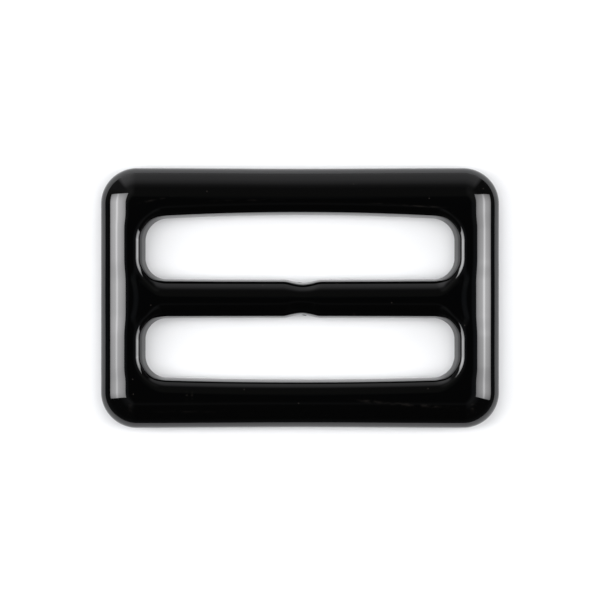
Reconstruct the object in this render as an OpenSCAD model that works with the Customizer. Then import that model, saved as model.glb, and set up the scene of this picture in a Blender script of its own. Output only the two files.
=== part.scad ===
// Two-slot strap slider: one glossy moulding with a crowned outer frame, a notched centre bar
// and two strap slots.
// X runs along the slots, so across the strap's width. Y runs along the strap. Z is up from the
// flat back. The origin is the middle of the back face. All sizes are millimetres.

/* [Slider] */
// Overall length, along the slots
overall_length = 51.6; // [51.2:0.1:56]
// Overall width, across both slots
overall_width = 33.7; // [33.4:0.1:38]
// Thickness, from the flat back to the crest of the rails
thickness = 4.5; // [4.2:0.1:5.5]
// Radius of the outer corners, seen from above
corner_radius = 4.7; // [4.2:0.1:6]

/* [Strap slots] */
// Clear length of each slot, which is the strap width that it takes
slot_length = 40; // [36:0.5:40]
// Clear height of each slot
slot_height = 8; // [7.4:0.1:8.1]
// Radius of the slot corners, seen from above
slot_corner_radius = 2.75; // [2.2:0.05:3]
// Angle at which the slot walls lean open towards the front, in degrees
wall_draft = 12; // [6:1:16]
// Radius that rounds the front edge of the slots
arris_radius = 1.75; // [1.2:0.05:1.8]

/* [Centre bar] */
// Width of the bar, along the strap
bar_width = 5; // [4.8:0.1:6]
// Length of the shallow notch in each side of the bar
notch_length = 4.4; // [3:0.1:6]
// Depth of the notch
notch_depth = 0.39; // [0.2:0.01:0.6]

/* [Outer edge] */
// How far the crest of the rails lies inside the outer edge
crest_inset = 3.9; // [3.4:0.1:3.9]
// Radius of the side of the rails, below the crown
side_radius = 2.3; // [2:0.05:2.4]
// Height of the widest line above the back
widest_height = 1.65; // [1.3:0.05:1.7]
// Radius that rounds the edges of the back
back_radius = 1.2; // [0.6:0.1:1.2]

/* [Hidden] */

$fn = 96;
// How far the cutters run past the faces that they cut
margin = 1;
// How far each arc passes the face that it runs into, so that they meet at a slight angle
arc_lift = 0.02;
shell_black = [0.03, 0.03, 0.035];

// The crown of the rails is two tangent arcs. The side arc ends upright at the widest line,
// and the crown arc ends almost level at the crest.
rise = thickness - widest_height;
arc_rise = rise + arc_lift;
crown_radius = (crest_inset ^ 2 + arc_rise ^ 2 - 2 * crest_inset * side_radius)
    / (2 * (arc_rise - side_radius));
side_centre = [crest_inset - side_radius, widest_height];
crown_centre = [0, widest_height + arc_rise - crown_radius];
crown_to_side = (side_centre - crown_centre) / (crown_radius - side_radius);
corner_flat = corner_radius - crest_inset;
core_length = overall_length - 2 * corner_radius;
core_width = overall_width - 2 * corner_radius;

// The slot wall leans open by wall_draft from the widest line, then turns over the arris.
arris_centre = thickness + arc_lift - arris_radius;
arris_start = arris_centre + arris_radius * sin(wall_draft);
wall_run = (arris_start - widest_height) * tan(wall_draft);
flare = wall_run + arris_radius * cos(wall_draft);

// Centre height of the arc that rounds the slot edges at the back
back_centre = back_radius - arc_lift;

// Centres of the upper slot's corners
bar_edge = bar_width / 2;
slot_corner_x = slot_length / 2 - slot_corner_radius;
inner_corner_y = bar_edge + slot_corner_radius;
outer_corner_y = bar_edge + slot_height - slot_corner_radius;

// The notch is a shallow arc through three points: its two ends and its deepest point.
notch_radius = ((notch_length / 2) ^ 2 + notch_depth ^ 2) / (2 * notch_depth);
notch_centre_y = bar_edge - notch_depth + notch_radius;

// Section of the crown, above the widest line. It starts on the axis of a corner.
module crown_section() {
    intersection() {
        translate([0, widest_height]) square([corner_radius, rise]);
        translate([corner_flat, 0]) union() {
            translate([-corner_flat, 0]) square([corner_flat, thickness]);
            translate(side_centre) circle(side_radius);
            intersection() {
                translate(crown_centre) circle(crown_radius, $fn = 4 * $fn);
                polygon([
                    crown_centre,
                    crown_centre + 2 * crown_radius * crown_to_side,
                    crown_centre + [0, 2 * crown_radius]
                ]);
            }
        }
    }
}

// Section of the whole outer edge, crown and rounded back
module edge_section() {
    crown_section();
    translate([0, back_radius]) square([corner_radius, widest_height - back_radius]);
    square([corner_radius - back_radius, widest_height]);
    translate([corner_radius - back_radius, back_radius]) circle(back_radius);
}

// Straight stretch of a section that faces +X, from Y = 0 to Y = length
module straight_side(length) {
    rotate([90, 0, 0]) translate([0, 0, -length]) linear_extrude(length) children();
}

// Block with a section swept round it. The corner axes stand at half_length each side of X = 0,
// and at low and high along Y.
module swept_block(half_length, low, high, bottom, top) {
    half_width = (high - low) / 2;
    translate([-half_length, low, bottom]) cube([2 * half_length, high - low, top - bottom]);
    for (turn = [0, 180]) translate([0, (low + high) / 2, 0]) rotate([0, 0, turn]) {
        translate([half_length, -half_width, 0]) straight_side(2 * half_width) children();
        translate([half_length, half_width, 0]) rotate([0, 0, 90])
            straight_side(2 * half_length) children();
        translate([half_length, half_width, 0]) rotate_extrude(angle = 90) children();
        translate([half_length, -half_width, 0]) rotate([0, 0, -90])
            rotate_extrude(angle = 90) children();
    }
}

// The moulding before its slots are cut
module slab() {
    swept_block(core_length / 2, -core_width / 2, core_width / 2, 0, thickness) edge_section();
}

// Section of a slot cutter: everything up to the slot wall, which is reach away at its foot
module wall_section(reach) {
    difference() {
        polygon([
            [0, -margin],
            [reach + back_radius, -margin],
            [reach + back_radius, back_centre],
            [reach, back_centre],
            [reach, widest_height],
            [reach + wall_run, arris_start],
            [reach + flare, arris_start],
            [reach + flare, thickness + margin],
            [0, thickness + margin]
        ]);
        translate([reach + back_radius, back_centre]) circle(back_radius);
        translate([reach + flare - arc_lift, arris_centre]) circle(arris_radius);
    }
}

// Shallow scoop that the upper slot takes out of the side of the bar
module notch_cutter() {
    intersection() {
        translate([0, notch_centre_y, 0]) rotate_extrude($fn = 4 * $fn) wall_section(notch_radius);
        translate([-notch_length, 0, -margin])
            cube([2 * notch_length, inner_corner_y + margin, thickness + 2 * margin]);
    }
}

// Cutters for the slots, with every wall flared towards the front
module both_slots() {
    for (turn = [0, 180]) rotate([0, 0, turn]) {
        swept_block(slot_corner_x, inner_corner_y, outer_corner_y, -margin, thickness + margin)
            wall_section(slot_corner_radius);
        notch_cutter();
    }
}

// The stretch between the slot corners that holds the bar, grown by extra at the back and front
module bar_block(extra = 0) {
    translate([-slot_corner_x, -inner_corner_y, -extra])
        cube([2 * slot_corner_x, 2 * inner_corner_y, thickness + 2 * extra]);
}

// The surround: both long rails and both ends, with the roots of the bar
module outer_frame() {
    color(shell_black) difference() {
        slab();
        both_slots();
        bar_block(margin);
    }
}

// The bar that the strap passes round, with a notch in the middle of each side
module centre_bar() {
    color(shell_black) difference() {
        bar_block();
        both_slots();
    }
}

outer_frame();
centre_bar();
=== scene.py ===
"""Looks for the buckle slider: one glossy black moulding, lying face up on a pale floor.

The moulding is worked out in millimetres and turned into metres when its mesh is made. The studio
round it is in metres throughout.
"""

import math

import bmesh
import bpy
import numpy as np
from mathutils import Matrix, Vector
from mathutils.geometry import delaunay_2d_cdt


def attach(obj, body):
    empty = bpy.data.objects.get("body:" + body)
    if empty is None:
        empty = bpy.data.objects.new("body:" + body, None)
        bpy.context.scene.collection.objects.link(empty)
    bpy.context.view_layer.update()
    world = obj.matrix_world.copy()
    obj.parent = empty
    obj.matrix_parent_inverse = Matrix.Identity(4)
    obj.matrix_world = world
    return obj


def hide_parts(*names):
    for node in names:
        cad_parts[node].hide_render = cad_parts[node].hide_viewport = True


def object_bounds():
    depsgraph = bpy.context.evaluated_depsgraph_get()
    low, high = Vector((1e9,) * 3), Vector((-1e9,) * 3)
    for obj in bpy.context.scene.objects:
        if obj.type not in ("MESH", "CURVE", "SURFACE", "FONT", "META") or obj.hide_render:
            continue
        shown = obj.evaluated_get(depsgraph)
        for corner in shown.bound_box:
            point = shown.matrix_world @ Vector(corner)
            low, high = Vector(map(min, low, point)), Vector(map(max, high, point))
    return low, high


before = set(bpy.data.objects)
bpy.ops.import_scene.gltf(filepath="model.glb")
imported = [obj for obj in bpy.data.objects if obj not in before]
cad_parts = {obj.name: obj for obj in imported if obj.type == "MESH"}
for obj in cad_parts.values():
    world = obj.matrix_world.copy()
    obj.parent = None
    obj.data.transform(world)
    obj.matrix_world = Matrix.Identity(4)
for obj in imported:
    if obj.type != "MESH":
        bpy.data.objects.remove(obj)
cad_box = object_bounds()

MM = 0.001


# ---------------------------------------------------------------- driving sizes

HALF_LENGTH, HALF_WIDTH, THICKNESS = np.array(cad_box[1]) / MM

CORNER_RADIUS = 4.67
EDGE_WAIST = 0.09
WIDEST_HEIGHT = 1.65
BACK_RADIUS = 1.2

# How far inside the widest line the crest lies: on the long rails and at the roots of the bar,
# and on the ends beside the slots.
CREST_INSET = 3.85
CREST_INSET_END = 3.62
# The outer crown differs a little from an ellipse: where it is tilted by about the first number
# of degrees, give or take the second, it lies further in by the third.
CROWN_SHIFTS = ((60.0, 9.0, -0.045), (39.0, 6.0, 0.04))
# The inset of an end begins and is whole at the first two of these distances from the middle line,
# and is gone again and still whole at the last two.
END_CREST_START = (2.0, 5.0)
END_CREST_FINISH = (11.0, 9.0)

SLOT_HALF_LENGTH = 20.0
SLOT_CORNER_RADIUS = 2.75
NOTCH_DEPTH = 0.4
NOTCH_HALF_LENGTH = 2.6

# Both slots, each seen with its own rail above it, so the lower one is given half a turn round.
# The sides are the heights of its long edges at the middle, and a bow is how far an edge has come
# inwards at its two ends.
UPPER_SLOT = {
    "turn": 1.0,
    "bar_side": 2.37,
    "rail_side": 10.74,
    "bar_bow": 0.05,
    "rail_bow": 0.45,
    "notch_middle": 0.35,
    "gate_size": 0.08,
}
LOWER_SLOT = {
    "turn": -1.0,
    "bar_side": 2.59,
    "rail_side": 10.56,
    "bar_bow": 0.03,
    "rail_bow": 0.25,
    "notch_middle": -0.2,
    "gate_size": 0.15,
}

# The trimmed gate is a low bump on the notch wall, under a sloping ledge.
GATE_HALF_LENGTH = 0.75
GATE_FOOT = 1.2
GATE_FOOT_RISE = 0.3
GATE_LEDGE = 2.3
GATE_LEDGE_SLOPE = -0.25
GATE_LEDGE_FALL = 0.22

# Each inner edge turns over from the level crest to the steep slot wall. Its section is a chain
# of arcs: (tilt from level in degrees where the arc ends, radius of the arc).
END_SECTION = ((7.5, 5.0), (40.0, 0.85), (50.0, 1.0), (71.0, 1.9), (74.0, 22.0))
RAIL_SECTION = ((12.0, 4.0), (35.0, 1.3), (55.0, 1.6), (74.0, 0.3), (83.0, 10.1))
BAR_SECTION = ((15.0, 3.4), (35.0, 2.0), (57.0, 2.1), (74.0, 0.2), (83.0, 7.8))
# An inner edge takes the section of an end where it faces along the slider: not at all where the
# X part of its direction is the first number, and wholly where it is the second.
FACING_END = (0.15, 0.65)
# The crests on the two sides of the bar stay this far from its middle line.
CREST_GAP = 0.05

# The bar's front lies a little lower than the ends that it joins. From the end inwards, the dip
# starts DROP_START from the middle and is whole DROP_LENGTH further in. To either side of the bar's
# middle line it starts further out, by DROP_CURVE times the square of the distance, which counts up
# to DROP_CURVE_SQUARE. Across the bar it is whole over the first half width, and gone at the second.
BAR_DROP = 0.1
DROP_START = 21.7
DROP_LENGTH = 1.1
DROP_CURVE = 0.06
DROP_CURVE_SQUARE = 6.0
DROP_FULL_HALF_WIDTH = 2.2
DROP_HALF_WIDTH = 4.6

# How finely the skin is made: points on each stretch of an outline, and steps of each section.
OUTER_SIDE_POINTS = 72
OUTER_TOP_POINTS = 96
OUTER_CORNER_POINTS = 40
SLOT_SIDE_POINTS = 20
SLOT_TOP_POINTS = 80
SLOT_BAR_POINTS = 300
SLOT_CORNER_POINTS = 36
OUTER_CROWN_STEPS = 40
CROWN_STEPS = 44
WALL_STEPS = 20
LOW_WALL_STEPS = 4
BACK_STEPS = 10

# The dip at the roots of the bar has its own points: their spacing, where they lie along and
# across the bar, and how far they stay from the crests of the slots.
ROOT_STEP = 0.3
ROOT_START = 17.0
ROOT_END = 21.8
ROOT_HALF_WIDTH = 5.1
ROOT_CLEARANCE = 0.15

# Faint rubbed patches on the front: middle x and y, half lengths along x and y, slope, strength
SCUFFS = (
    (10.1, 12.2, 1.0, 0.06, 0.0, 0.4),
    (15.5, 11.85, 2.4, 0.09, -0.05, 0.35),
    (9.3, -13.4, 1.5, 0.17, -0.12, 0.45),
    (14.6, -13.8, 3.6, 0.17, -0.07, 0.35),
    (-14.6, -12.7, 0.12, 0.5, 0.1, 0.4),
    (-13.9, -12.7, 0.12, 0.5, 0.1, 0.35),
    (-14.5, -14.7, 3.2, 0.13, 0.0, 0.15),
    (-21.9, -14.1, 0.22, 0.6, 0.3, 0.35),
    (22.3, -14.2, 0.25, 0.55, -0.4, 0.35),
    (-18.5, 12.7, 1.6, 0.12, 0.2, 0.3),
    (-6.5, 12.6, 4.0, 0.1, 0.01, 0.15),
)

# The camera looks straight down. The picture is this wide at the level of this share of the
# slider's thickness, and its middle lies at this Y.
PICTURE_WIDTH = 77.76
PICTURE_LEVEL = 0.4
PICTURE_MIDDLE_Y = -0.26
SENSOR_WIDTH = 36.0

# Metres from the slider to the camera, and to the middle of every light
STUDIO_DISTANCE = 0.5
# Half widths of the card round the slider and of the whole floor, which lies this much lower
CARD_HALF = 0.043
FLOOR_HALF = 2.0
FLOOR_STEP = 0.00002

# Soft lights that don't show in the gloss: name, bearing in degrees from +X, lowest and highest
# elevation in degrees, width in metres, strength
FLOOR_LIGHTS = (
    ("right_low", 0.0, 8.0, 35.0, 0.2, 6.4),
    ("right_middle", 0.0, 35.0, 58.0, 0.2, 3.3),
    ("right_high", 0.0, 58.0, 78.0, 0.3, 0.92),
    ("left_low", 180.0, 8.0, 35.0, 0.2, 5.7),
    ("left_middle", 180.0, 35.0, 58.0, 0.2, 5.2),
    ("left_high", 180.0, 58.0, 78.0, 0.3, 1.05),
    ("back_low", 90.0, 8.0, 35.0, 0.35, 0.95),
    ("back_middle", 90.0, 35.0, 58.0, 0.35, 0.9),
    ("overhead", 0.0, 60.0, 120.0, 0.6, 1.6),
)


# ---------------------------------------------------------------- outlines

def smooth_step(value, zero_at, one_at):
    """0 at and before zero_at, 1 at and after one_at, and level at both ends."""
    share = np.clip((value - zero_at) / (one_at - zero_at), 0.0, 1.0)
    return share * share * (3.0 - 2.0 * share)


def spread(start, end, count):
    """Evenly spaced values from start up to, but without, end."""
    return np.linspace(start, end, count, endpoint=False)


def steps(start, end, step):
    """Evenly spaced values from start to end, with both."""
    return np.arange(start, end + step / 2.0, step)


def corner_points(centre, radius, first_degrees, count):
    """Points on a quarter circle, turning anticlockwise."""
    angles = np.radians(spread(first_degrees, first_degrees + 90.0, count))
    directions = np.column_stack((np.cos(angles), np.sin(angles)))
    return np.array(centre) + radius * directions


def outer_outline():
    """The widest line of the moulding, anticlockwise, with slightly waisted long edges."""
    core_x = HALF_LENGTH - CORNER_RADIUS
    core_y = HALF_WIDTH - CORNER_RADIUS
    side = spread(-core_y, core_y, OUTER_SIDE_POINTS)
    top = spread(core_x, -core_x, OUTER_TOP_POINTS)
    half = np.vstack((
        np.column_stack((np.full(side.shape, HALF_LENGTH), side)),
        corner_points((core_x, core_y), CORNER_RADIUS, 0.0, OUTER_CORNER_POINTS),
        np.column_stack((top, np.full(top.shape, HALF_WIDTH))),
        corner_points((-core_x, core_y), CORNER_RADIUS, 90.0, OUTER_CORNER_POINTS),
    ))
    loop = np.vstack((half, -half))
    waist = EDGE_WAIST * smooth_step(np.abs(loop[:, 0]), core_x, 0.0)
    inward = np.sign(loop[:, 1]) * smooth_step(np.abs(loop[:, 1]), core_y, HALF_WIDTH)
    loop[:, 1] -= waist * inward
    return loop


def slot_outline(slot):
    """A slot at its narrowest, anticlockwise, with its rail above it."""
    radius = SLOT_CORNER_RADIUS
    corner_x = SLOT_HALF_LENGTH - radius
    low_y = slot["bar_side"] + radius
    high_y = slot["rail_side"] - radius
    side = spread(low_y, high_y, SLOT_SIDE_POINTS)
    side_down = side[::-1] + side[1] - side[0]
    top = spread(corner_x, -corner_x, SLOT_TOP_POINTS)
    # The points along the bar lie closest together at the notch.
    share = spread(-1.0, 1.0, SLOT_BAR_POINTS)
    bottom = corner_x * (0.3 * share + 0.7 * share ** 3)
    loop = np.vstack((
        np.column_stack((np.full(side.shape, SLOT_HALF_LENGTH), side)),
        corner_points((corner_x, high_y), radius, 0.0, SLOT_CORNER_POINTS),
        np.column_stack((top, np.full(top.shape, slot["rail_side"]))),
        corner_points((-corner_x, high_y), radius, 90.0, SLOT_CORNER_POINTS),
        np.column_stack((np.full(side.shape, -SLOT_HALF_LENGTH), side_down)),
        corner_points((-corner_x, low_y), radius, 180.0, SLOT_CORNER_POINTS),
        np.column_stack((bottom, np.full(bottom.shape, slot["bar_side"]))),
        corner_points((corner_x, low_y), radius, 270.0, SLOT_CORNER_POINTS),
    ))
    upward = smooth_step(loop[:, 1], low_y, high_y)
    along = loop[:, 0] / corner_x
    bow = slot["rail_bow"] * upward * along ** 2
    from_notch = np.abs(loop[:, 0] - slot["notch_middle"])
    shoulder = np.clip(from_notch / NOTCH_HALF_LENGTH, 0.0, 1.0)
    notch = NOTCH_DEPTH * (0.5 + 0.5 * np.cos(math.pi * shoulder))
    rise = slot["bar_bow"] * np.clip(along ** 2, 0.0, 1.0) - notch
    loop[:, 1] += (1.0 - upward) * rise - bow
    return loop


def outward_directions(loop):
    """Unit vectors square to an anticlockwise loop, pointing out of it."""
    along = np.roll(loop, -1, axis=0) - np.roll(loop, 1, axis=0)
    along /= np.linalg.norm(along, axis=1)[:, None]
    return np.column_stack((along[:, 1], -along[:, 0]))


# ---------------------------------------------------------------- sections

def arc_chain(section, tilts):
    """Distance and drop from the crest at each tilt, along a chain of arcs."""
    distance = np.zeros(len(tilts))
    drop = np.zeros(len(tilts))
    start = 0.0
    for end_degrees, radius in section:
        end = math.radians(end_degrees)
        reached = np.clip(tilts, start, end)
        distance += radius * (np.sin(reached) - math.sin(start))
        drop += radius * (math.cos(start) - np.cos(reached))
        start = end
    return distance, drop


def section_tilts(section):
    """The tilt of each ring: even steps over the rounded edge, then even steps down the wall."""
    wall_start, wall_end = math.radians(section[-2][0]), math.radians(section[-1][0])
    crown = spread(0.0, wall_start, CROWN_STEPS)
    return np.concatenate((crown, np.linspace(wall_start, wall_end, WALL_STEPS + 1)))


def slot_rings(slot):
    """Rings of points from the flat back up the slot's wall and over to the crest."""
    loop = slot_outline(slot)
    outward = outward_directions(loop)
    facing_end = smooth_step(np.abs(outward[:, 0]), *FACING_END)
    facing_bar = (1.0 - facing_end) * (outward[:, 1] < 0.0)
    facing_rail = (1.0 - facing_end) * (outward[:, 1] >= 0.0)
    weights = (facing_end, facing_rail, facing_bar)
    parts = [arc_chain(s, section_tilts(s)) for s in (END_SECTION, RAIL_SECTION, BAR_SECTION)]
    whole = sum(w * p[0][-1] for w, p in zip(weights, parts))
    mostly_towards_bar = outward[:, 1] < -0.5
    room = np.where(mostly_towards_bar, loop[:, 1] - CREST_GAP, whole)
    squeeze = np.minimum(room / whole, 1.0)
    rings = []
    for ring in range(CROWN_STEPS + WALL_STEPS, -1, -1):
        distance = sum(w * p[0][ring] for w, p in zip(weights, parts))
        height = THICKNESS - sum(w * p[1][ring] for w, p in zip(weights, parts))
        inset = (whole - distance) * squeeze
        inset -= facing_bar * gate_mark(loop[:, 0] - slot["notch_middle"], height, slot["gate_size"])
        rings.append(np.column_stack((loop + outward * inset[:, None], height)))
    return back_rings(rings[0], outward)[::-1] + rings


def gate_mark(along, height, size):
    """How far the trimmed gate stands out of the wall, low down in the middle of the notch."""
    length = np.clip(1.0 - (along / GATE_HALF_LENGTH) ** 2, 0.0, 1.0)
    ledge = GATE_LEDGE + GATE_LEDGE_SLOPE * along
    below_ledge = smooth_step(height, ledge, ledge - GATE_LEDGE_FALL)
    above_foot = smooth_step(height, GATE_FOOT, GATE_FOOT + GATE_FOOT_RISE)
    return size * length * below_ledge * above_foot


def outer_rings():
    """Rings from the flat back to the widest line, then up over the crown to the crest."""
    loop = outer_outline()
    outward = outward_directions(loop)
    from_middle = np.abs(loop[:, 1])
    beside_slot = smooth_step(from_middle, *END_CREST_START)
    beside_slot *= smooth_step(from_middle, *END_CREST_FINISH)
    facing_end = smooth_step(outward[:, 0] ** 2, 0.0, 1.0)
    crest_inset = CREST_INSET + (CREST_INSET_END - CREST_INSET) * beside_slot * facing_end
    rings = []
    for inset, rise in zip(*crown_profile(crest_inset)):
        flat = loop - outward * inset[:, None]
        rings.append(np.column_stack((flat, WIDEST_HEIGHT + rise)))
    return back_rings(rings[0], -outward)[::-1] + rings


def crown_profile(crest_inset):
    """Inset and rise of each ring of the outer crown: a quarter ellipse, a little reshaped."""
    whole_rise = THICKNESS - WIDEST_HEIGHT
    turns = np.linspace(0.0, math.pi / 2.0, OUTER_CROWN_STEPS + 1)[:, None]
    tilt = np.arctan2(whole_rise * np.cos(turns), crest_inset * np.sin(turns))
    shift = np.zeros(tilt.shape)
    for middle, width, size in CROWN_SHIFTS:
        shift += size * np.exp(-((np.degrees(tilt) - middle) / width) ** 2)
    # A shift inwards also climbs, at the tilt there, so that each ring keeps its tilt.
    rise = whole_rise * np.sin(turns) + np.zeros(tilt.shape)
    climb = np.tan((tilt[1:] + tilt[:-1]) / 2.0) * np.diff(shift, axis=0)
    rise[1:] += np.cumsum(climb, axis=0)
    rise *= whole_rise / rise[-1]
    return crest_inset * (1.0 - np.cos(turns)) + shift, rise


def back_rings(top_ring, into_material):
    """Rings straight down from a narrowest or widest line, then round the edge of the back."""
    rings = []
    for share in np.linspace(0.0, 1.0, LOW_WALL_STEPS + 1)[1:]:
        height = top_ring[:, 2] + (BACK_RADIUS - top_ring[:, 2]) * share
        rings.append(np.column_stack((top_ring[:, :2], height)))
    for turn in np.linspace(0.0, math.pi / 2.0, BACK_STEPS + 1)[1:]:
        flat = top_ring[:, :2] + into_material * (BACK_RADIUS * (1.0 - math.cos(turn)))
        height = np.full(len(top_ring), BACK_RADIUS * (1.0 - math.sin(turn)))
        rings.append(np.column_stack((flat, height)))
    return rings


def bar_drop(x, y):
    """How far the front lies below the crest at the bar and its roots."""
    start = DROP_START + DROP_CURVE * min(y * y, DROP_CURVE_SQUARE)
    along = smooth_step(abs(x), start, start - DROP_LENGTH)
    across = smooth_step(abs(y), DROP_HALF_WIDTH, DROP_FULL_HALF_WIDTH)
    return BAR_DROP * along * across


# ---------------------------------------------------------------- mesh

def add_object(name, data):
    """A new object in the scene."""
    made = bpy.data.objects.new(name, data)
    bpy.context.scene.collection.objects.link(made)
    return made


def build_body():
    """The whole moulding as one closed, unbroken skin."""
    stacks = [outer_rings()]
    for slot in (UPPER_SLOT, LOWER_SLOT):
        turn = np.array((slot["turn"], slot["turn"], 1.0))
        stacks.append([ring * turn for ring in slot_rings(slot)])

    builder = bmesh.new()
    crests = []
    backs = []
    for index, stack in enumerate(stacks):
        rows = [[builder.verts.new(Vector(point) * MM) for point in ring] for ring in stack]
        for below, above in zip(rows, rows[1:]):
            count = len(below)
            for i in range(count):
                j = (i + 1) % count
                corners = (below[i], below[j], above[j], above[i])
                builder.faces.new(corners if index == 0 else corners[::-1])
        backs.append(rows[0])
        crests.append(rows[-1])
    fill_between(builder, crests, root_points(stacks), THICKNESS, 1)
    fill_between(builder, backs, [], 0.0, -1)
    lower_bar(builder)

    mesh = bpy.data.meshes.new("slider_body")
    builder.to_mesh(mesh)
    builder.free()
    for polygon in mesh.polygons:
        polygon.use_smooth = True
    return add_object("slider_body", mesh)


def lower_bar(builder):
    """Lowers the front at the bar and its roots, less and less down to the widest height."""
    for vert in builder.verts:
        height = vert.co.z / MM
        share = np.clip((height - WIDEST_HEIGHT) / (THICKNESS - WIDEST_HEIGHT), 0.0, 1.0)
        vert.co.z -= MM * float(bar_drop(vert.co.x / MM, vert.co.y / MM) * share)


def root_points(stacks):
    """Points on the level front at both roots of the bar, where it dips."""
    slot_crests = [stack[-1][:, :2] for stack in stacks[1:]]
    points = []
    for side in (-1.0, 1.0):
        for x in steps(ROOT_START, ROOT_END, ROOT_STEP):
            for y in steps(-ROOT_HALF_WIDTH, ROOT_HALF_WIDTH, ROOT_STEP):
                point = Vector((side * x, y))
                nearest = min(np.hypot(*(loop - np.array(point)).T).min() for loop in slot_crests)
                if nearest > ROOT_CLEARANCE and not any(inside(point, loop) for loop in slot_crests):
                    points.append(point)
    return points


def fill_between(builder, loops, extra_points, height, facing):
    """Level faces between an outer loop and the loops of the slots, through any extra points."""
    verts = [vert for loop in loops for vert in loop]
    verts += [builder.verts.new((p.x * MM, p.y * MM, height * MM)) for p in extra_points]
    points = [Vector((vert.co.x / MM, vert.co.y / MM)) for vert in verts]
    edges = []
    start = 0
    for loop in loops:
        count = len(loop)
        edges += [(start + i, start + (i + 1) % count) for i in range(count)]
        start += count
    found, _, triangles, origins = delaunay_2d_cdt(points, edges, [], 1, 1e-6)[:4]
    slot_loops = [np.array([(v.co.x / MM, v.co.y / MM) for v in loop]) for loop in loops[1:]]
    for triangle in triangles:
        middle = sum((found[i] for i in triangle), Vector((0.0, 0.0))) / 3.0
        if any(inside(middle, loop) for loop in slot_loops):
            continue
        face = builder.faces.new([verts[origins[i][0]] for i in triangle])
        face.normal_update()
        if face.normal.z * facing < 0.0:
            face.normal_flip()


def inside(point, loop):
    """True if a point lies inside a closed loop."""
    x, y = loop[:, 0], loop[:, 1]
    next_x, next_y = np.roll(x, -1), np.roll(y, -1)
    crosses = (y > point.y) != (next_y > point.y)
    with np.errstate(divide="ignore", invalid="ignore"):
        at = x + (point.y - y) / (next_y - y) * (next_x - x)
    return np.count_nonzero(crosses & (point.x < at)) % 2 == 1


# ---------------------------------------------------------------- shader nodes

class Graph:
    """The shader nodes of one material or world. A value is a number or another node's output."""

    def __init__(self, owner):
        owner.use_nodes = True
        self.nodes = owner.node_tree.nodes
        self.links = owner.node_tree.links

    def feed(self, node, socket, value):
        """Sets an input of a node to a number or a colour, or links another node's output to it."""
        if isinstance(value, bpy.types.NodeSocket):
            self.links.new(value, node.inputs[socket])
        else:
            node.inputs[socket].default_value = value

    def add(self, kind, inputs=None):
        """A new node, with some of its inputs fed."""
        node = self.nodes.new(kind)
        for socket, value in (inputs or {}).items():
            self.feed(node, socket, value)
        return node

    def math(self, operation, *values):
        """The result of a Math node on one, two or three values."""
        node = self.nodes.new("ShaderNodeMath")
        node.operation = operation
        for index, value in enumerate(values):
            self.feed(node, index, value)
        return node.outputs["Value"]

    def plus(self, *values):
        """The sum of two or more values."""
        total = values[0]
        for value in values[1:]:
            total = self.math("ADD", total, value)
        return total

    def times(self, *values):
        """The product of two or more values."""
        product = values[0]
        for value in values[1:]:
            product = self.math("MULTIPLY", product, value)
        return product

    def map_range(self, value, from_low, from_high, to_low, to_high):
        """A value carried evenly from one range to another, and held at its ends."""
        node = self.add("ShaderNodeMapRange", {
            "Value": value,
            "From Min": from_low,
            "From Max": from_high,
            "To Min": to_low,
            "To Max": to_high,
        })
        return node.outputs["Result"]

    def bell(self, value, centre, width):
        """1 where a value is at the centre, falling off smoothly on both sides."""
        offset = self.math("DIVIDE", self.math("SUBTRACT", value, centre), width)
        return self.math("EXPONENT", self.times(offset, offset, -1.0))

    def ramp(self, value, stops):
        """A colour that changes evenly between stops: (position, (red, green, blue))."""
        node = self.add("ShaderNodeValToRGB", {"Fac": value})
        elements = node.color_ramp.elements
        while len(elements) < len(stops):
            elements.new(0.5)
        for element, (position, colour) in zip(elements, stops):
            element.position = position
            element.color = (*colour, 1.0)
        return node.outputs["Color"]

    def axes(self, vector):
        """The X, Y and Z of a vector."""
        return tuple(self.add("ShaderNodeSeparateXYZ", {"Vector": vector}).outputs)

    def stretched(self, vector, scale):
        """A vector with its own scale along each axis."""
        return self.add("ShaderNodeMapping", {"Vector": vector, "Scale": scale}).outputs["Vector"]

    def noise(self, vector, scale, detail):
        """Soft random patches, about this many to a unit of the vector."""
        inputs = {"Vector": vector, "Scale": scale, "Detail": detail}
        return self.add("ShaderNodeTexNoise", inputs).outputs["Fac"]


# ---------------------------------------------------------------- materials

def gloss_black():
    """Black moulded plastic with a near-mirror finish, faint flow waves, scuffs and dust."""
    material = bpy.data.materials.new("gloss_black")
    graph = Graph(material)
    shader = graph.nodes["Principled BSDF"]
    shader.inputs["IOR"].default_value = 1.5
    shader.inputs["Specular Tint"].default_value = (0.985, 0.985, 1.0, 1.0)
    place = graph.add("ShaderNodeTexCoord").outputs["Object"]

    # Flow waves about 8 mm apart and 16 thousandths of a millimetre high
    waves = graph.noise(place, 130.0, 1.0)
    bump = graph.add("ShaderNodeBump", {"Strength": 1.0, "Distance": 0.016 * MM, "Height": waves})
    graph.feed(shader, "Normal", bump.outputs["Normal"])

    # Streaks along the rails, where the gloss is a little less sharp
    streaks = graph.noise(graph.stretched(place, (60.0, 900.0, 900.0)), 1.0, 3.0)
    graph.feed(shader, "Roughness", graph.map_range(streaks, 0.35, 0.75, 0.028, 0.045))

    colour = graph.add("ShaderNodeMix")
    colour.data_type = "RGBA"
    graph.feed(colour, "A", (0.0005, 0.0005, 0.0005, 1.0))
    graph.feed(colour, "B", (0.022, 0.019, 0.017, 1.0))
    graph.feed(colour, "Factor", graph.plus(scuff_marks(graph, place), dust(graph, place)))
    graph.feed(shader, "Base Color", colour.outputs["Result"])
    return material


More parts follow.
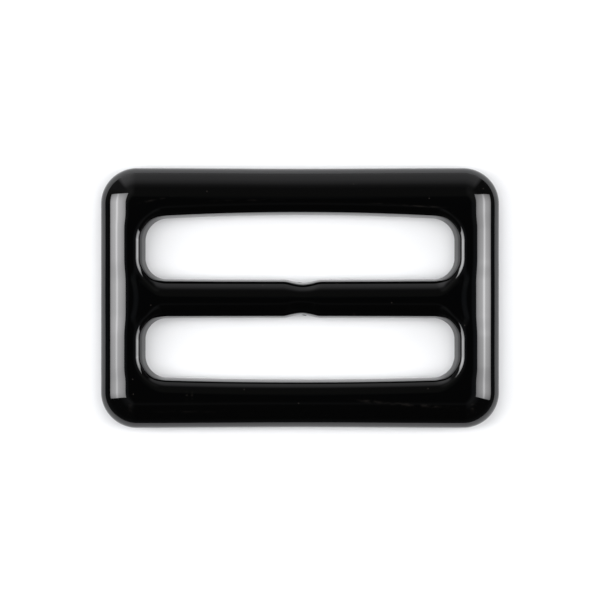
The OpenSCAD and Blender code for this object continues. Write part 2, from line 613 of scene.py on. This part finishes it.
def scuff_marks(graph, place):
    """Faint rubbed patches, broken up by fine noise that runs along the rails."""
    x, y, _ = graph.axes(place)
    patches = []
    for middle_x, middle_y, half_x, half_y, slope, strength in SCUFFS:
        along = graph.math("SUBTRACT", x, middle_x * MM)
        across = graph.math("SUBTRACT", y, middle_y * MM)
        across = graph.math("SUBTRACT", across, graph.times(along, slope))
        along = graph.bell(along, 0.0, half_x * MM)
        across = graph.bell(across, 0.0, half_y * MM)
        patches.append(graph.times(along, across, strength))
    broken = graph.noise(graph.stretched(place, (900.0, 2600.0, 900.0)), 1.0, 2.0)
    return graph.times(graph.plus(*patches), graph.map_range(broken, 0.42, 0.66, 0.0, 1.0))


def dust(graph, place):
    """Round specks 0.1 to 0.2 mm across, in about one in ten cells of 2.4 mm."""
    cells = graph.nodes.new("ShaderNodeTexVoronoi")
    cells.voronoi_dimensions = "2D"
    graph.feed(cells, "Scale", 420.0)
    graph.feed(cells, "Vector", place)
    speck = graph.map_range(cells.outputs["Distance"], 0.02, 0.045, 1.0, 0.0)
    chosen = graph.add("ShaderNodeSeparateColor", {"Color": cells.outputs["Color"]})
    rare = graph.map_range(chosen.outputs["Red"], 0.9, 0.91, 0.0, 0.8)
    return graph.times(speck, rare)


def floor_white():
    """Matt white, with a trace of blue."""
    material = bpy.data.materials.new("floor_white")
    material.use_nodes = True
    shader = material.node_tree.nodes["Principled BSDF"]
    shader.inputs["Base Color"].default_value = (0.885, 0.89, 0.905, 1.0)
    shader.inputs["Roughness"].default_value = 1.0
    shader.inputs["Specular IOR Level"].default_value = 0.0
    return material


def glow(name, edge, hump, core, core_place, core_width, lift, lean):
    """Emission of a softbox front: dim at its edges, brighter inside, with a hot line along it.

    From straight above, only the 45 mm at its middle shows in the ends of the slider. There, lift
    is the part of the light that falls away from the middle, and lean is how much brighter the
    light gets towards the front's own +X end, and dimmer towards its -X end.
    """
    material = bpy.data.materials.new(name)
    graph = Graph(material)
    graph.nodes.clear()
    place = graph.add("ShaderNodeTexCoord")
    share_x, share_y, _ = graph.axes(place.outputs["Generated"])
    metres_x, _, _ = graph.axes(place.outputs["Object"])
    along = graph.math("MULTIPLY_ADD", share_x, 2.0, -1.0)
    across = graph.math("MULTIPLY_ADD", share_y, 2.0, -1.0)
    along_square = graph.times(along, along)

    dome = graph.times(graph.math("SUBTRACT", 1.0, graph.times(across, across)), hump)
    peak = graph.times(graph.bell(across, core_place, core_width), core)
    fade = graph.math("EXPONENT", graph.times(along_square, -0.8))
    total = graph.plus(graph.times(graph.plus(dome, peak), fade), edge)

    dimming = graph.plus(graph.times(along_square, -0.3), 1.0)
    raised = graph.plus(graph.times(graph.bell(metres_x, 0.0, 0.016), lift), 1.0 - lift)
    leaning = graph.map_range(metres_x, -0.022, 0.022, 1.0 - lean, 1.0 + lean)
    strength = graph.times(total, dimming, raised, leaning)
    emission = graph.add("ShaderNodeEmission", {"Strength": strength})
    graph.add("ShaderNodeOutputMaterial", {"Surface": emission.outputs["Emission"]})
    return material


# ---------------------------------------------------------------- studio

def stage_plane(name, corners, material):
    """One flat face of the studio."""
    mesh = bpy.data.meshes.new(name)
    mesh.from_pydata(corners, [], [(0, 1, 2, 3)])
    mesh.materials.append(material)
    made = add_object(name, mesh)
    return made


def square(half, z):
    """The corners of a level square."""
    return [(-half, -half, z), (half, -half, z), (half, half, z), (-half, half, z)]


def make_floor():
    """A wide floor with a card on it round the slider. The gloss shows the card and no more."""
    material = floor_white()
    stage_plane("floor_card", square(CARD_HALF, 0.0), material)
    floor_far = stage_plane("floor_far", square(FLOOR_HALF, -FLOOR_STEP), material)
    floor_far.visible_glossy = False


def panel(name, side, lowest, highest, bottom_reach, top_reach, material):
    """A softbox front that leans over the object from the left (-1) or the right (+1).

    It reaches from the lowest to the highest elevation in degrees, and its bottom and top edges
    each reach between two values of Y. It shows in the gloss and lights nothing else.
    """
    middle = math.radians((lowest + highest) / 2.0)
    half_height = STUDIO_DISTANCE * math.tan(math.radians((highest - lowest) / 2.0))
    bottom = [(side * y, -half_height, 0.0) for y in bottom_reach]
    top = [(side * y, half_height, 0.0) for y in reversed(top_reach)]
    corners = bottom + top
    made = stage_plane(name, corners if side > 0.0 else corners[::-1], material)
    along = Vector((0.0, side, 0.0))
    up = Vector((-side * math.sin(middle), 0.0, math.cos(middle)))
    turn = np.array((along, up, along.cross(up))).T
    made.rotation_mode = "QUATERNION"
    made.rotation_quaternion = Matrix(turn.tolist()).to_quaternion()
    made.location = Vector((side * math.cos(middle), 0.0, math.sin(middle))) * STUDIO_DISTANCE
    made.visible_camera = False
    made.visible_diffuse = False
    made.visible_shadow = False


def floor_light(name, bearing, lowest, highest, width, strength):
    """A soft area light that lights the floor but doesn't show as a reflection in the gloss."""
    light = bpy.data.lights.new(name, "AREA")
    light.shape = "RECTANGLE"
    light.size = width
    light.size_y = 2.0 * STUDIO_DISTANCE * math.tan(math.radians((highest - lowest) / 2.0))
    light.energy = strength * light.size * light.size_y * math.pi
    made = add_object(name, light)
    slope = math.radians((lowest + highest) / 2.0)
    around = math.radians(bearing)
    toward = Vector((
        math.cos(slope) * math.cos(around),
        math.cos(slope) * math.sin(around),
        math.sin(slope),
    ))
    made.location = toward * STUDIO_DISTANCE
    made.rotation_mode = "QUATERNION"
    made.rotation_quaternion = (-toward).to_track_quat("-Z", "Y")
    made.visible_camera = False
    made.visible_glossy = False


def make_lights():
    """A softbox on each side, which makes the bright strips, and the lights of the floor."""
    left = glow(
        "left_glow", edge=4.9, hump=4.8, core=5.3, core_place=0.0, core_width=0.12,
        lift=0.0, lean=-0.08,
    )
    right = glow(
        "right_glow", edge=4.5, hump=5.1, core=7.2, core_place=0.06, core_width=0.13,
        lift=0.23, lean=0.04,
    )
    panel("left_softbox", -1.0, 19.0, 73.0, (-0.143, 0.208), (-0.088, 0.185), left)
    panel("right_softbox", 1.0, 13.2, 68.0, (-0.175, 0.206), (-0.085, 0.172), right)
    for row in FLOOR_LIGHTS:
        floor_light(*row)


def make_world():
    """Pale to the camera. To everything else, a dark room with a dim white backdrop beyond +Y."""
    world = bpy.data.worlds.new("studio")
    graph = Graph(world)
    graph.nodes.clear()
    direction = graph.add("ShaderNodeTexCoord").outputs["Generated"]
    x, y, z = graph.axes(direction)
    level = graph.math("SQRT", graph.plus(graph.times(x, x), graph.times(y, y)))
    # 1 towards +Y, 0 to either side, and -1 towards -Y
    bearing = graph.math("DIVIDE", y, level)

    tints = (
        (0.42, (0.93, 0.97, 1.0)),
        (0.5, (0.8, 0.9, 1.0)),
        (0.56, (0.97, 1.0, 0.93)),
        (0.75, (0.985, 0.985, 1.0)),
    )
    dim = graph.add("ShaderNodeBackground", {
        "Color": graph.ramp(graph.map_range(y, -1.0, 1.0, 0.0, 1.0), tints),
        "Strength": room_light(graph, x, y, z, bearing),
    })
    pale = graph.add("ShaderNodeBackground", {"Color": (0.9, 0.9, 0.9, 1.0)})
    mix = graph.add("ShaderNodeMixShader", {
        "Fac": graph.add("ShaderNodeLightPath").outputs["Is Camera Ray"],
        1: dim.outputs["Background"],
        2: pale.outputs["Background"],
    })
    graph.add("ShaderNodeOutputWorld", {"Surface": mix.outputs["Shader"]})
    bpy.context.scene.world = world


def room_light(graph, x, y, z, bearing):
    """How bright the room is in a direction, as the gloss and the floor see it."""
    # The backdrop stands beyond +Y, fades upwards, and is brighter on the left.
    fading = (
        (0.0, 0.66),
        (0.15, 0.58),
        (0.42, 0.55),
        (0.5, 0.5),
        (0.66, 0.31),
        (0.77, 0.1),
        (0.87, 0.02),
    )
    backdrop = graph.times(
        graph.map_range(bearing, 0.77, 0.85, 0.0, 1.0),
        graph.ramp(z, [(height, (level, level, level)) for height, level in fading]),
        graph.map_range(x, -0.02, -0.3, 1.0, 1.5),
    )
    # The rest of the room is nearly dark, with a little more light towards +Y.
    gloom = graph.map_range(y, 0.02, 0.12, 0.022, 0.052)
    # A faint light lies on both sides of straight overhead, and less of it lower down.
    beside = graph.times(
        graph.map_range(graph.math("ABSOLUTE", x), 0.07, 0.17, 0.0, 0.09),
        graph.map_range(z, 0.8, 0.93, 0.12, 1.0),
    )
    # A faint light on the left carries the backdrop round its corner.
    corner = graph.times(
        graph.map_range(bearing, 0.2, 0.6, 0.0, 1.0),
        graph.map_range(x, -0.05, -0.3, 0.0, 0.09),
    )
    # Towards -Y there are a faint ring high up and a faint band low down.
    front = graph.map_range(bearing, 0.3, -0.1, 0.0, 0.045)
    ring = graph.times(graph.bell(z, 0.955, 0.018), front)
    skirting = graph.times(graph.bell(z, 0.0, 0.16), front)
    return graph.plus(backdrop, gloom, beside, corner, ring, skirting)


def make_camera():
    """Straight above the slider, far enough away that its walls hardly show perspective."""
    camera = bpy.data.cameras.new("camera")
    camera.sensor_width = SENSOR_WIDTH
    to_picture_level = STUDIO_DISTANCE - THICKNESS * PICTURE_LEVEL * MM
    camera.lens = SENSOR_WIDTH * to_picture_level / (PICTURE_WIDTH * MM)
    made = add_object("camera", camera)
    made.location = (0.0, PICTURE_MIDDLE_Y * MM, STUDIO_DISTANCE)
    bpy.context.scene.camera = made


# ---------------------------------------------------------------- assembly

make_camera()
body = build_body()
body.data.materials.append(gloss_black())
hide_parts("outer_frame", "centre_bar")
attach(body, "root")
make_floor()
make_lights()
make_world()
bpy.context.scene.view_settings.view_transform = "Standard"
